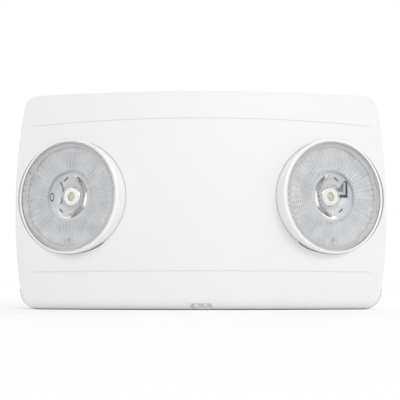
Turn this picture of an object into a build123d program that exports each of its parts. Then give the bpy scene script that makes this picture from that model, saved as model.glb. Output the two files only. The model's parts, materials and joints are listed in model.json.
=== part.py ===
from build123d import *
from math import asin, cos, degrees, pi, radians, sin, sqrt, tan
import os

# Twin-head emergency light, in millimetres.
# X runs to the right seen from the front, Y runs into the wall and Z is up.
# The origin is the middle of the back plate's wall face.

# Housing: a bowed front between side walls that bulge a little
housing_width = 267.0
housing_height = 153.0
housing_depth = 72.0
front_bow_radius = 430.0
side_bow_radius = 400.0
top_corner_radius = 10.0
bottom_corner_radius = 13.0
edge_radius = 1.0
lower_edge_radius = 7.5
lower_edge_turn = 76.0
cover_wall = 2.5
cover_root = 1.0  # how far inner bosses reach into the cover's wall

# Line grooves above and below the head openings, stopping short of the sides
groove_width = 0.8
groove_depth = 0.5
groove_side_gap = 12.7
upper_groove_gap = 13.95
upper_groove_drop = 3.0
lower_groove_gap = 11.85
lower_groove_drop = 0.6

# Back plate
plate_thickness = 2.5
rim_height = 8.0
rim_wall = 2.0
cover_fit = 0.3
catch_width = 10.0
catch_height = 1.6
catch_length = 2.4
catch_fit = 0.3
catch_side_gap = 60.0
wire_entry_radius = 10.0
wire_entry_height = -13.5
box_screw_spacing = 88.9
box_screw_hole_radius = 2.4
knockout_web = 0.8
keyhole_radius = 4.5
keyhole_slot_width = 5.0
keyhole_slot_length = 8.0
keyhole_side_gap = 40.0
keyhole_top_gap = 28.5
spare_hole_spacing = 83.3
spare_hole_radius = 2.2

# Turning heads: a drum with a slanted front in a round opening
head_height = 2.5
side_land = 0.35
drum_radius = 40.4
drum_gap = 0.25
lens_tilt = 12.8
lens_standoff = 6.2
rim_rounding = 1.5
front_ring_depth = 5.0
drum_wall = 4.2
tail_step = 2.0
tail_room = 0.5
flange_lip = 1.4
flange_thickness = 2.5
collar_depth = 12.2
collar_wall = 2.0
flange_play = 0.1
relief_width = 0.6
relief_start = 233.0
relief_turn = 24.0
relief_depth = 4.0

# Ring that traps each head
friction_ring_thickness = 1.0
retaining_ring_thickness = 2.5
retaining_ring_lap = 1.6
tail_clearance = 0.6
ring_boss_radius = 3.2
ring_boss_gap = 1.4
ring_ear_edge = 0.8

# Screws: one self-tapping size through the whole light
screw_radius = 1.25
screw_head_radius = 2.6
screw_head_height = 1.8
screw_hole_radius = 1.6
screw_fit = 0.05
screw_bite = 7.0
screw_tip_room = 1.0

# Lens, collimator and what is behind it
lens_rim = 2.6
lens_fit = 0.15
lens_thickness = 2.5
lens_recess = 0.5
lens_seat = 2.8
fresnel_margin = 1.0
fresnel_pitch = 2.0
fresnel_steps = 3
fresnel_height = 0.9
flute_count = 60
flute_width = 1.2
flute_depth = 0.6
flute_margin = 0.7
bowl_radius = 16.0
bowl_bulge = 1.0
bowl_tip_radius = 7.0
bowl_tip_gap = 2.0
bowl_floor_gap = 0.4
pocket_radius = 4.4
pocket_depth = 2.2
pocket_cone = 0.8
reflector_wall = 1.2
reflector_depth = 3.5
reflector_mouth_gap = 3.0
reflector_rim_lap = 0.6
optic_post_radius = 2.6
optic_post_inset = 2.3
led_board_radius = 16.0
led_board_lap = 1.5
led_board_thickness = 1.6
led_chip_size = 5.0
led_chip_height = 0.7
led_dome_radius = 1.7
heat_sink_gap = 0.2
heat_sink_base = 2.0
heat_sink_fins = 7
heat_sink_fin_pitch = 4.0
heat_sink_fin_length = 22.4
heat_sink_fin_thickness = 1.2
heat_sink_fin_height = 5.0

# Back cap of a head and the rubber grommet its lead turns in
head_back_thickness = 2.0
head_boss_inset = 3.4
head_boss_radius = 2.8
head_vent_circle = 20.0
head_vent_width = 4.0
head_vent_length = 10.0
head_vent_count = 8
grommet_radius = 5.0
grommet_lip = 1.4
grommet_lip_height = 1.2
grommet_bore_clearance = 0.5

# Main board on four standoffs
board_width = 96.0
board_height = 46.0
board_thickness = 1.6
board_top_gap = 7.5
board_corner_radius = 2.0
standoff_height = 8.0
standoff_radius = 3.5
standoff_inset = 5.0

# Parts on the main board, with places measured from its middle
core_width = 30.0
core_height = 25.0
core_stack = 13.0
winding_width = 20.0
winding_height = 32.0
winding_stack = 20.0
transformer_left = 24.0
transformer_rise = 4.0
relay_width = 15.5
relay_height = 19.0
relay_depth = 15.0
relay_edge = 0.8
relay_right = 8.0
relay_rise = 5.0
large_capacitor_radius = 5.0
large_capacitor_height = 16.0
small_capacitor_radius = 4.0
small_capacitor_height = 12.0
capacitors_right = 28.0
capacitor_gap = 3.0
capacitors_rise = 11.0
sleeve_groove = 0.5
diode_radius = 1.3
diode_length = 5.0
diode_count = 4
diode_pitch = 3.25
diodes_right = 40.0
diodes_rise = 14.0
pole_count = 3
pole_pitch = 5.0
terminal_height = 9.0
terminal_depth = 10.0
terminal_hole = 3.4
terminal_screw_radius = 1.7
terminal_screw_sink = 1.7
terminal_left = 21.0

# Battery pack in its cradle
cell_radius = 11.0
cell_count = 3
cell_length = 42.0
cell_valley = 0.8
cell_edge = 1.1
battery_bottom_gap = 7.5
battery_fit = 0.3
battery_rest = 0.1
cradle_wall = 2.0
cradle_height = 11.0
strap_boss_height = 6.0
strap_width = 10.0
strap_thickness = 1.2
strap_foot = 9.0

# Test panel on the lower rounding
panel_width = 14.8
panel_height = 5.2
panel_depth = 2.0
panel_corner = 1.2
panel_angle = 45.0
panel_spacing = 6.4
panel_pad = 1.0
button_radius = 2.0
button_gap = 0.15
button_sink = 0.3
button_edge = 0.4
button_flange_radius = 2.9
button_flange = 1.0
button_rest_gap = 0.1
button_stem_radius = 1.4
button_stem = 2.0
button_travel = 1.0
plunger_radius = 1.1
plunger_length = 2.7
plunger_gap = 0.1
switch_size = 6.0
switch_gap = 1.7
switch_height = 3.4
indicator_radius = 1.5
indicator_gap = 0.1
indicator_sink = 0.5
indicator_dome = 1.35
indicator_length = 5.0
indicator_flange = 0.4
indicator_leg = 0.5
test_board_width = 20.6
test_board_height = 8.0
test_board_thickness = 1.2
test_post_spacing = 16.8
test_post_radius = 1.7
test_stake_radius = 0.8
test_stake_height = 0.8

# Stiffening ribs behind the cover's front
rib_spacing = 22.0
rib_thickness = 1.5
rib_depth = 5.0
rib_end_gap = 28.5

# Leads: limp twin wires
head_lead_diameter = 3.0
battery_lead_diameter = 3.0
test_lead_diameter = 2.4
plug_width = 8.0
plug_height = 8.0
plug_depth = 6.8
plug_drop = 2.0
plug_edge = 0.6
head_plug_x = 34.0
battery_plug_x = 18.0
head_lead_straight = 13.0
test_lead_straight = 12.0
lead_arc_share = 0.45

# Derived places
bow_middle = Vector(0, front_bow_radius - housing_depth, 0)
bow_axis = Axis(bow_middle, (0, 0, 1))
opening_radius = drum_radius + drum_gap
head_x = housing_width / 2 - opening_radius - side_land
swivel_angle = degrees(asin(head_x / front_bow_radius))
head_y = bow_middle.Y - sqrt(front_bow_radius**2 - head_x**2)


def facing(angle):
    """Direction out of the front, turned outward from straight ahead."""
    return Vector(sin(radians(angle)), -cos(radians(angle)), 0)


def sideways(angle):
    """Direction outward along the front at the same turn."""
    return Vector(cos(radians(angle)), sin(radians(angle)), 0)


swivel_point = Vector(head_x, head_y, head_height)
lens_angle = swivel_angle + lens_tilt
lens_point = swivel_point + facing(swivel_angle) * lens_standoff
down = Vector(0, 0, -1)
swivel_plane = Plane(swivel_point, sideways(swivel_angle), facing(swivel_angle))
swivel_section = Plane(swivel_point, sideways(swivel_angle), down)
swivel_axis = Axis(swivel_point, facing(swivel_angle))
lens_plane = Plane(lens_point, sideways(lens_angle), facing(lens_angle))
lens_section = Plane(lens_point, sideways(lens_angle), down)
lens_axis = Axis(lens_point, facing(lens_angle))

flange_radius = drum_radius + flange_lip
tail_radius = drum_radius - tail_step
cavity_radius = drum_radius - drum_wall
flange_front = collar_depth + flange_play
flange_back = flange_front + flange_thickness
friction_ring_front = flange_back + flange_play
friction_ring_back = friction_ring_front + friction_ring_thickness
retaining_ring_back = friction_ring_back + retaining_ring_thickness
retaining_ring_radius = flange_radius + retaining_ring_lap
ring_screw_circle = flange_radius + ring_boss_gap + ring_boss_radius
ring_ear_radius = ring_boss_radius + ring_ear_edge
lens_radius = drum_radius - lens_rim
lens_back = lens_recess + lens_thickness
seat_radius = lens_radius - lens_seat
fresnel_inner_radius = bowl_radius + fresnel_margin
fresnel_outer_radius = fresnel_inner_radius + fresnel_steps * fresnel_pitch
reflector_floor = front_ring_depth + reflector_depth
led_board_front = reflector_floor + reflector_wall
heat_sink_front = led_board_front + led_board_thickness
heat_sink_back = heat_sink_front + heat_sink_base
heat_sink_drift = heat_sink_back * sin(radians(lens_tilt))
heat_sink_radius = cavity_radius - heat_sink_drift - heat_sink_gap
optic_post_circle = heat_sink_radius - optic_post_inset
reflector_mouth_radius = bowl_radius + reflector_mouth_gap
reflector_floor_radius = led_board_radius + led_board_lap
reflector_hole_radius = bowl_tip_radius + bowl_tip_gap
fins_back = (heat_sink_back + heat_sink_fin_height) * cos(radians(lens_tilt)) - lens_standoff
fins_reach = fins_back + heat_sink_fin_length / 2 * sin(radians(lens_tilt))
tail_depth = fins_reach + tail_room + screw_bite
cap_back = tail_depth + head_back_thickness
head_boss_circle = cavity_radius - head_boss_inset
from_the_wall = Plane((0, 0, 0), (-1, 0, 0), (0, 1, 0))
catch_spacing = housing_width - 2 * catch_side_gap
keyhole_spacing = housing_width - 2 * keyhole_side_gap
keyhole_height = housing_height / 2 - keyhole_top_gap
board_middle_height = housing_height / 2 - board_top_gap - board_height / 2
board_back = plate_thickness + standoff_height
board_front = board_back + board_thickness
cradle_half_width = cell_count * cell_radius + battery_fit
battery_bottom = battery_bottom_gap - housing_height / 2
battery_top = battery_bottom + cell_length
battery_back = plate_thickness + battery_rest
battery_front = battery_back + 2 * cell_radius
strap_front = battery_front + battery_rest + strap_thickness
grommet_bore = head_lead_diameter / 2 + grommet_bore_clearance

os.makedirs("parts", exist_ok=True)


def write(piece, name):
    piece.label = name
    export_step(piece, f"parts/{name}.step")


def write_pair(right, name):
    """Writes the right-hand piece and its mirror image across the middle."""
    with BuildPart() as left:
        mirror(right, about=Plane.YZ)
    write(right, f"{name}_right")
    write(left.part, f"{name}_left")


def turned(points, section, axis):
    """A turned piece from its half section, radius first and height second."""
    with BuildPart() as piece:
        with BuildSketch(section):
            with BuildLine():
                Polyline(*points, close=True)
            make_face()
        revolve(axis=axis)
    return piece.part


def screws(plane, places, head_back, thread_end):
    """Pan-head screws, heads behind the plane's level and threads towards its front."""
    with BuildPart() as group:
        with BuildSketch(plane.offset(-head_back)):
            with Locations(*places):
                Circle(screw_radius)
        extrude(amount=head_back - thread_end)
        with BuildSketch(plane.offset(-head_back)):
            with Locations(*places):
                Circle(screw_head_radius)
        extrude(amount=-screw_head_height)
        rims = group.edges().group_by(Axis((0, 0, 0), plane.z_dir))[0]
        fillet(rims, screw_head_height / 3)
    return group.part


def polar_places(circle, angles):
    return [(circle * cos(radians(a)), circle * sin(radians(a))) for a in angles]


# Housing form


def housing_outline(inset):
    """Front view of the housing, a given distance inside its outer face."""
    half_width = housing_width / 2 - inset
    half_height = housing_height / 2 - inset
    bow = side_bow_radius - inset
    corner = half_width - bow + sqrt(bow**2 - half_height**2)
    with BuildSketch(Plane.XZ) as outline:
        with BuildLine():
            Line((-corner, half_height), (corner, half_height))
            ThreePointArc((corner, half_height), (half_width, 0), (corner, -half_height))
            Line((corner, -half_height), (-corner, -half_height))
            ThreePointArc((-corner, -half_height), (-half_width, 0), (-corner, half_height))
        make_face()
        fillet(outline.vertices().group_by(Axis.Y)[-1], top_corner_radius - inset)
        fillet(outline.vertices().group_by(Axis.Y)[0], bottom_corner_radius - inset)
    return outline.sketch


lower_edge_height = (
    -housing_height / 2 + lower_edge_radius * sin(radians(lower_edge_turn))
)
lower_edge_distance = front_bow_radius - lower_edge_radius

# The bow is swept from well left of the housing to well right of it, so its front has
# no seam. A section is drawn there, its distance from the bow's axis first.
bow_sweep = 90.0
bow_start = Plane(bow_middle, facing(-bow_sweep / 2), sideways(-bow_sweep / 2) * -1)


def front_section(inset):
    """Section of the housing: straight front, square top, rounded lower edge."""
    bottom = -housing_height / 2 + inset
    radius = lower_edge_radius - inset
    turn = asin((lower_edge_height - bottom) / radius)

    def on_rounding(angle):
        out = lower_edge_distance + radius * cos(angle)
        return out, lower_edge_height - radius * sin(angle)

    behind = front_bow_radius - 2 * housing_depth
    with BuildSketch(bow_start) as section:
        with BuildLine():
            Polyline(
                on_rounding(turn),
                (behind, bottom),
                (behind, housing_height / 2 - inset),
                (front_bow_radius - inset, housing_height / 2 - inset),
                on_rounding(0),
            )
            ThreePointArc(on_rounding(0), on_rounding(turn / 2), on_rounding(turn))
        make_face()
    return section.sketch


def bowed(section, mode=Mode.ADD):
    """Sweeps a section along the bow."""
    return revolve(section, axis=bow_axis, revolution_arc=bow_sweep, mode=mode)


def housing_form(inset):
    """The bowed block of the housing, inset all round."""
    with BuildPart() as form:
        extrude(housing_outline(inset), amount=housing_depth)
        bowed(front_section(inset), Mode.INTERSECT)
    return form.part


def is_front_edge(edge):
    """True on the loop where the form's front meets its sides, not on the lower seam."""
    place = edge.center()
    round_the_front = edge.geom_type != GeomType.LINE and place.Y < -housing_depth / 2
    return round_the_front and abs(place.Z - lower_edge_height) > 0.05


front_edge_places = [edge.center() for edge in housing_form(0).edges().filter_by(is_front_edge)]


def is_outer_front_edge(edge):
    """True on the same loop of the finished cover."""
    place = edge.center()
    return any((place - known).length < edge_radius / 10 for known in front_edge_places)


def bow_layer(depth):
    """A thin bowed layer at the front face, to cut grooves of even depth."""
    with BuildSketch(bow_start) as section:
        with Locations((front_bow_radius, 0)):
            Rectangle(2 * depth, housing_height)
    return section.sketch


def groove_band(height, drop):
    """Front view of one line groove, arched by its drop towards the ends."""
    half = groove_width / 2
    reach = housing_width / 2 - groove_side_gap
    with BuildSketch(Plane.XZ) as band:
        with BuildLine():
            for edge in (height + half, height - half):
                ThreePointArc((-reach, edge - drop), (0, edge), (reach, edge - drop))
            for end in (-reach, reach):
                Line((end, height + half - drop), (end, height - half - drop))
        make_face()
    return band.sketch


upper_groove_height = head_height + opening_radius + upper_groove_gap
lower_groove_height = head_height - opening_radius - lower_groove_gap
with BuildPart() as grooves:
    extrude(groove_band(upper_groove_height, upper_groove_drop), amount=2 * housing_depth)
    extrude(groove_band(lower_groove_height, lower_groove_drop), amount=2 * housing_depth)
    bowed(bow_layer(groove_depth), Mode.INTERSECT)

# Test panel frame: its plane lies on the lower rounding, facing down and forward
panel_out = Vector(0, -cos(radians(panel_angle)), -sin(radians(panel_angle)))
lower_edge_middle = Vector(0, lower_edge_radius - housing_depth, lower_edge_height)
panel_point = lower_edge_middle + panel_out * lower_edge_radius
panel_plane = Plane(panel_point, (1, 0, 0), panel_out)
pad_back = cover_wall + panel_pad
button_x = -panel_spacing / 2
indicator_x = panel_spacing / 2
button_flange_front = pad_back + button_rest_gap
button_flange_back = button_flange_front + button_flange
stem_end = button_flange_back + button_stem
switch_front = stem_end + switch_gap
switch_back = switch_front + switch_height
test_board_back = switch_back + test_board_thickness

# Front cover: one moulding with collars, bosses, ribs, catches and the test panel
ring_screw_angles = (90, 180, 270)
ring_screw_places = polar_places(ring_screw_circle, ring_screw_angles)

with BuildPart() as cover_insides:
    with BuildSketch(swivel_plane.offset(-collar_depth)):
        Circle(opening_radius + collar_wall)
    extrude(amount=collar_depth + lens_standoff)
    with BuildSketch(swivel_plane.offset(-friction_ring_back)):
        with Locations(*ring_screw_places):
            Circle(ring_boss_radius)
    extrude(amount=friction_ring_back + lens_standoff)
    mirror(about=Plane.YZ)
    with BuildSketch(panel_plane.offset(-pad_back)):
        RectangleRounded(panel_width + 2 * cover_wall, panel_height + cover_wall, panel_corner)
    extrude(amount=pad_back)
    with BuildSketch(panel_plane.offset(-switch_back)):
        with GridLocations(test_post_spacing, 0, 2, 1):
            Circle(test_post_radius)
    extrude(amount=switch_back)
    with BuildSketch(panel_plane.offset(-test_board_back - test_stake_height)):
        with GridLocations(test_post_spacing, 0, 2, 1):
            Circle(test_stake_radius)
    extrude(amount=test_board_back + test_stake_height)
    with BuildSketch(Plane.XZ.offset(housing_depth - cover_wall - rib_depth)):
        with GridLocations(rib_spacing, 0, 3, 1):
            Rectangle(rib_thickness, housing_height - 2 * rib_end_gap)
    extrude(amount=rib_depth + cover_wall)
    add(housing_form(cover_root), mode=Mode.INTERSECT)

catch_level = plate_thickness + rim_height / 2
inner_half_height = housing_height / 2 - cover_wall

with BuildPart() as catches:
    with BuildSketch(Plane.YZ.offset(catch_spacing / 2 - catch_width / 2)):
        with BuildLine():
            Polyline(
                (-catch_level + catch_length / 2, inner_half_height),
                (-catch_level - catch_length / 2, inner_half_height + cover_root),
                (-catch_level - catch_length / 2, inner_half_height - catch_height),
                (-catch_level, inner_half_height - catch_height),
                close=True,
            )
        make_face()
    extrude(amount=catch_width)
    mirror(about=Plane.YZ)
    mirror(about=Plane.XY)

# The relief is widest where it starts, and runs out along the opening
relief_outline = [
    *polar_places(opening_radius + relief_width, (relief_start,)),
    *polar_places(opening_radius + 3 / 4 * relief_width, (relief_start + relief_turn / 2,)),
    *polar_places(opening_radius, (relief_start + relief_turn,)),
]
with BuildPart() as head_opening:
    with BuildSketch(swivel_plane.offset(-collar_depth)):
        Circle(opening_radius)
    extrude(amount=collar_depth + lens_standoff)
    with BuildSketch(swivel_plane.offset(-relief_depth)):
        with BuildLine():
            ThreePointArc(*relief_outline)
            Polyline(relief_outline[-1], (0, 0), relief_outline[0])
        make_face()
    extrude(amount=relief_depth + lens_standoff)

with BuildPart() as front_cover:
    add(housing_form(0))
    add(grooves.part, mode=Mode.SUBTRACT)
    add(housing_form(cover_wall), mode=Mode.SUBTRACT)
    add(cover_insides.part)
    add(catches.part)
    split(bisect_by=Plane.XZ.offset(plate_thickness), keep=Keep.TOP)
    add(head_opening.part, mode=Mode.SUBTRACT)
    mirror(head_opening.part, about=Plane.YZ, mode=Mode.SUBTRACT)
    for side in (1, -1):
        pilot_plane = Plane(
            Vector(side * head_x, head_y, head_height),
            Vector(side * cos(radians(swivel_angle)), sin(radians(swivel_angle)), 0),
            Vector(side * sin(radians(swivel_angle)), -cos(radians(swivel_angle)), 0),
        )
        with BuildSketch(pilot_plane.offset(-friction_ring_back)):
            with Locations(*ring_screw_places):
                Circle(screw_radius + screw_fit)
        extrude(amount=screw_bite + screw_fit, mode=Mode.SUBTRACT)
    with BuildSketch(panel_plane.offset(-panel_depth)):
        RectangleRounded(panel_width, panel_height, panel_corner)
    extrude(amount=2 * panel_depth, mode=Mode.SUBTRACT)
    with BuildSketch(panel_plane.offset(-pad_back)):
        with Locations((button_x, 0)):
            Circle(button_radius + button_gap)
        with Locations((indicator_x, 0)):
            Circle(indicator_radius + indicator_gap)
    extrude(amount=pad_back, mode=Mode.SUBTRACT)
    fillet(front_cover.edges().filter_by(is_outer_front_edge), edge_radius)
write(front_cover.part, "front_cover")

# Back plate: wall fixings behind, rim, standoffs and battery cradle in front
half_board_x = board_width / 2 - standoff_inset
half_board_z = board_height / 2 - standoff_inset
standoff_places = [
    (x, board_middle_height + z)
    for x in (-half_board_x, half_board_x)
    for z in (-half_board_z, half_board_z)
]
rim_inset = cover_wall + cover_fit
rim_inner_bottom = housing_height / 2 - rim_inset - rim_wall
strap_screw_x = cradle_half_width + cradle_wall + strap_foot / 2
battery_middle = (battery_top + battery_bottom) / 2
strap_screw_places = [(strap_screw_x, battery_middle), (-strap_screw_x, battery_middle)]
plate_front = Plane.XZ.offset(plate_thickness)

with BuildPart() as back_plate:
    extrude(housing_outline(0), amount=plate_thickness)
    with BuildSketch(plate_front):
        add(housing_outline(rim_inset))
        add(housing_outline(rim_inset + rim_wall), mode=Mode.SUBTRACT)
    extrude(amount=rim_height)
    with BuildSketch(plate_front):
        with Locations(*standoff_places):
            Circle(standoff_radius)
    extrude(amount=standoff_height)
    with BuildSketch(plate_front):
        with GridLocations(2 * cradle_half_width + cradle_wall, 0, 2, 1):
            with Locations((0, battery_middle)):
                Rectangle(cradle_wall, cell_length)
        ledge = battery_bottom - battery_fit + rim_inner_bottom
        with Locations((0, battery_bottom - battery_fit)):
            Rectangle(
                2 * (cradle_half_width + cradle_wall),
                ledge,
                align=(Align.CENTER, Align.MAX),
            )
    extrude(amount=cradle_height)
    with BuildSketch(plate_front):
        with Locations(*strap_screw_places):
            Circle(standoff_radius)
    extrude(amount=strap_boss_height)
    with BuildSketch(plate_front):
        with Locations(*standoff_places, *strap_screw_places):
            Circle(screw_radius + screw_fit)
    extrude(amount=standoff_height, mode=Mode.SUBTRACT)
    with Locations(Plane.XZ):
        with Locations((0, wire_entry_height)):
            Hole(wire_entry_radius, depth=plate_thickness)
        with Locations((0, wire_entry_height)):
            with GridLocations(box_screw_spacing, 0, 2, 1):
                Hole(box_screw_hole_radius, depth=plate_thickness)
    with BuildSketch(Plane.XZ):
        with Locations((0, wire_entry_height)):
            with GridLocations(0, spare_hole_spacing, 1, 2):
                Circle(spare_hole_radius)
        with GridLocations(keyhole_spacing, 0, 2, 1):
            with Locations((0, keyhole_height)):
                Circle(keyhole_radius)
                Rectangle(
                    keyhole_slot_width,
                    keyhole_radius + keyhole_slot_length,
                    align=(Align.CENTER, Align.MIN),
                )
    extrude(amount=plate_thickness - knockout_web, mode=Mode.SUBTRACT)
    for window_z in (rim_inner_bottom, -rim_inner_bottom):
        with BuildSketch(Plane.XZ.offset(catch_level - catch_length / 2 - catch_fit)):
            with GridLocations(catch_spacing, 0, 2, 1):
                with Locations((0, window_z)):
                    Rectangle(catch_width + 2 * catch_fit, 2 * rim_wall + cover_fit)
        extrude(amount=catch_length + 2 * catch_fit, mode=Mode.SUBTRACT)
write(back_plate.part, "back_plate")

# Turning head: shell, optics, heat sink and cap, all on the swivel or lens axis
head_boss_angles = (60, 180, 300)
head_boss_places = polar_places(head_boss_circle, head_boss_angles)
boss_root_circle = (head_boss_circle + cavity_radius) / 2
boss_root_places = polar_places(boss_root_circle, head_boss_angles)
optic_post_angles = (30, 150, 270)
optic_post_places = polar_places(optic_post_circle, optic_post_angles)

with BuildPart() as head_cavity:
    with BuildSketch(swivel_plane.offset(-tail_depth)):
        Circle(cavity_radius)
    extrude(amount=tail_depth + drum_radius)
    split(bisect_by=lens_plane.offset(-front_ring_depth), keep=Keep.BOTTOM)

with BuildPart() as head_shell:
    with BuildSketch(swivel_plane.offset(-flange_back)):
        Circle(drum_radius)
    extrude(amount=flange_back + drum_radius)
    split(bisect_by=lens_plane, keep=Keep.BOTTOM)
    fillet(head_shell.faces().filter_by(lens_plane).sort_by(lens_axis)[-1].edges(), rim_rounding)
    with BuildSketch(swivel_plane.offset(-flange_back)):
        Circle(flange_radius)
    extrude(amount=flange_thickness)
    with BuildSketch(swivel_plane.offset(-tail_depth)):
        Circle(tail_radius)
    extrude(amount=tail_depth - flange_back)
    add(head_cavity.part, mode=Mode.SUBTRACT)
    with BuildSketch(lens_plane.offset(-front_ring_depth)):
        Circle(seat_radius)
    extrude(amount=front_ring_depth, mode=Mode.SUBTRACT)
    with BuildSketch(lens_plane.offset(-lens_back)):
        Circle(lens_radius + lens_fit)
    extrude(amount=lens_back, mode=Mode.SUBTRACT)
    with BuildSketch(swivel_plane.offset(-tail_depth)):
        with Locations(*head_boss_places, *boss_root_places):
            Circle(head_boss_radius)
        Circle((cavity_radius + tail_radius) / 2, mode=Mode.INTERSECT)
    extrude(amount=screw_bite)
    with BuildSketch(swivel_plane.offset(-tail_depth)):
        with Locations(*head_boss_places):
            Circle(screw_radius + screw_fit)
    extrude(amount=screw_bite, mode=Mode.SUBTRACT)
write_pair(head_shell.part, "head_shell")


def fresnel_points():
    """Saw-tooth steps on the lens's back, from the outer radius inwards."""
    points = []
    for step in range(fresnel_steps):
        outer = fresnel_outer_radius - step * fresnel_pitch
        points.append((outer, -lens_back))
        points.append((outer - fresnel_pitch, -lens_back - fresnel_height))
    points.append((fresnel_inner_radius, -lens_back))
    return points


bowl_tip = reflector_floor - bowl_floor_gap
bowl_belly = (
    (bowl_radius + bowl_tip_radius) / 2 + bowl_bulge,
    -(lens_back + bowl_tip) / 2 - bowl_bulge / 2,
)
with BuildPart() as lens:
    with BuildSketch(lens_section):
        with BuildLine():
            Polyline(
                (pocket_radius, -bowl_tip),
                (pocket_radius, pocket_depth - bowl_tip),
                (0, pocket_depth + pocket_cone - bowl_tip),
                (0, -lens_recess),
                (lens_radius - 2 * lens_fit, -lens_recess),
                (lens_radius, -2 * lens_fit - lens_recess),
                (lens_radius, -lens_back),
                *fresnel_points(),
                (bowl_radius, -lens_back),
            )
            ThreePointArc((bowl_radius, -lens_back), bowl_belly, (bowl_tip_radius, -bowl_tip))
            Line((bowl_tip_radius, -bowl_tip), (pocket_radius, -bowl_tip))
        make_face()
    revolve(axis=lens_axis)
    flute_inner = fresnel_outer_radius + flute_margin
    flute_outer = seat_radius - flute_margin
    with BuildSketch(lens_plane.offset(-lens_back)):
        with PolarLocations((flute_inner + flute_outer) / 2, flute_count):
            Rectangle(flute_outer - flute_inner, flute_width)
    extrude(amount=flute_depth, mode=Mode.SUBTRACT)
write_pair(lens.part, "lens")

with BuildPart() as reflector:
    rim_radius = seat_radius + reflector_rim_lap
    add(
        turned(
            [
                (rim_radius, -front_ring_depth),
                (reflector_mouth_radius, -front_ring_depth),
                (reflector_floor_radius, -reflector_floor),
                (reflector_hole_radius, -reflector_floor),
                (reflector_hole_radius, -led_board_front),
                (reflector_floor_radius + reflector_wall, -led_board_front),
                (reflector_mouth_radius + reflector_wall, -front_ring_depth - reflector_wall),
                (rim_radius, -front_ring_depth - reflector_wall),
            ],
            lens_section,
            lens_axis,
        )
    )
    with BuildSketch(lens_plane.offset(-heat_sink_front)):
        with Locations(*optic_post_places):
            Circle(optic_post_radius)
    extrude(amount=heat_sink_front - front_ring_depth - reflector_wall)
    with BuildSketch(lens_plane.offset(-heat_sink_front)):
        with Locations(*optic_post_places):
            Circle(screw_radius + screw_fit)
    extrude(amount=screw_bite, mode=Mode.SUBTRACT)
write_pair(reflector.part, "reflector")

with BuildPart() as led_board:
    with BuildSketch(lens_plane.offset(-heat_sink_front)):
        Circle(led_board_radius)
        with GridLocations(2 * led_board_radius, 0, 2, 1):
            Circle(screw_head_radius, mode=Mode.SUBTRACT)
    extrude(amount=led_board_thickness)
write_pair(led_board.part, "led_board")

with BuildPart() as led_chip:
    with BuildSketch(lens_plane.offset(-led_board_front)):
        RectangleRounded(led_chip_size, led_chip_size, led_chip_height / 2)
    extrude(amount=led_chip_height)
    dome_level = led_chip_height - led_board_front
    with BuildSketch(lens_section):
        with Locations((0, dome_level)):
            Circle(led_dome_radius)
            Rectangle(
                2 * led_dome_radius,
                led_dome_radius,
                align=(Align.CENTER, Align.MAX),
                mode=Mode.SUBTRACT,
            )
            Rectangle(
                led_dome_radius,
                2 * led_dome_radius,
                align=(Align.MAX, Align.CENTER),
                mode=Mode.SUBTRACT,
            )
    revolve(axis=lens_axis)
write_pair(led_chip.part, "led_chip")

with BuildPart() as heat_sink:
    with BuildSketch(lens_plane.offset(-heat_sink_back)):
        Circle(heat_sink_radius)
        with Locations(*optic_post_places):
            Circle(screw_hole_radius, mode=Mode.SUBTRACT)
    extrude(amount=heat_sink_base)
    with BuildSketch(lens_plane.offset(-heat_sink_back)):
        with GridLocations(0, heat_sink_fin_pitch, 1, heat_sink_fins):
            Rectangle(heat_sink_fin_length, heat_sink_fin_thickness)
    extrude(amount=-heat_sink_fin_height)
write_pair(heat_sink.part, "heat_sink")

heat_sink_screw_end = heat_sink_front - screw_bite + screw_tip_room
write_pair(
    screws(lens_plane, optic_post_places, heat_sink_back, heat_sink_screw_end),
    "heat_sink_screws",
)

with BuildPart() as head_back:
    with BuildSketch(swivel_plane.offset(-cap_back)):
        Circle(tail_radius)
        Circle(grommet_radius, mode=Mode.SUBTRACT)
        with Locations(*head_boss_places):
            Circle(screw_hole_radius, mode=Mode.SUBTRACT)
        with PolarLocations(head_vent_circle, head_vent_count):
            SlotOverall(head_vent_length, head_vent_width, mode=Mode.SUBTRACT)
    extrude(amount=head_back_thickness)
    outer_rim = head_back.faces().filter_by(swivel_plane).sort_by(swivel_axis)[0].edges()
    chamfer(outer_rim.sort_by(SortBy.LENGTH)[-1], head_back_thickness / 2)
write_pair(head_back.part, "head_back")

head_back_screw_end = tail_depth - screw_bite + screw_tip_room
write_pair(
    screws(swivel_plane, head_boss_places, cap_back, head_back_screw_end),
    "head_back_screws",
)

lip_radius = grommet_radius + grommet_lip
write_pair(
    turned(
        [
            (grommet_bore, grommet_lip_height - tail_depth),
            (lip_radius, grommet_lip_height - tail_depth),
            (lip_radius, -tail_depth),
            (grommet_radius, -tail_depth),
            (grommet_radius, -cap_back),
            (lip_radius, -cap_back),
            (lip_radius, -cap_back - grommet_lip_height),
            (grommet_bore, -cap_back - grommet_lip_height),
        ],
        swivel_section,
        swivel_axis,
    ),
    "lead_grommet",
)

# Ring, friction ring and screws that hold each head behind its opening
with BuildPart() as friction_ring:
    with BuildSketch(swivel_plane.offset(-friction_ring_back)):
        Circle(flange_radius)
        Circle(tail_radius + tail_clearance, mode=Mode.SUBTRACT)
    extrude(amount=friction_ring_thickness)
write_pair(friction_ring.part, "friction_ring")

with BuildPart() as retaining_ring:
    with BuildSketch(swivel_plane.offset(-retaining_ring_back)):
        Circle(retaining_ring_radius)
        with Locations(*ring_screw_places):
            Circle(ring_ear_radius)
        Circle(tail_radius + tail_clearance, mode=Mode.SUBTRACT)
        with Locations(*ring_screw_places):
            Circle(screw_hole_radius, mode=Mode.SUBTRACT)
    extrude(amount=retaining_ring_thickness)
    add(housing_form(cover_wall + cover_fit), mode=Mode.INTERSECT)
write_pair(retaining_ring.part, "retaining_ring")

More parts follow.
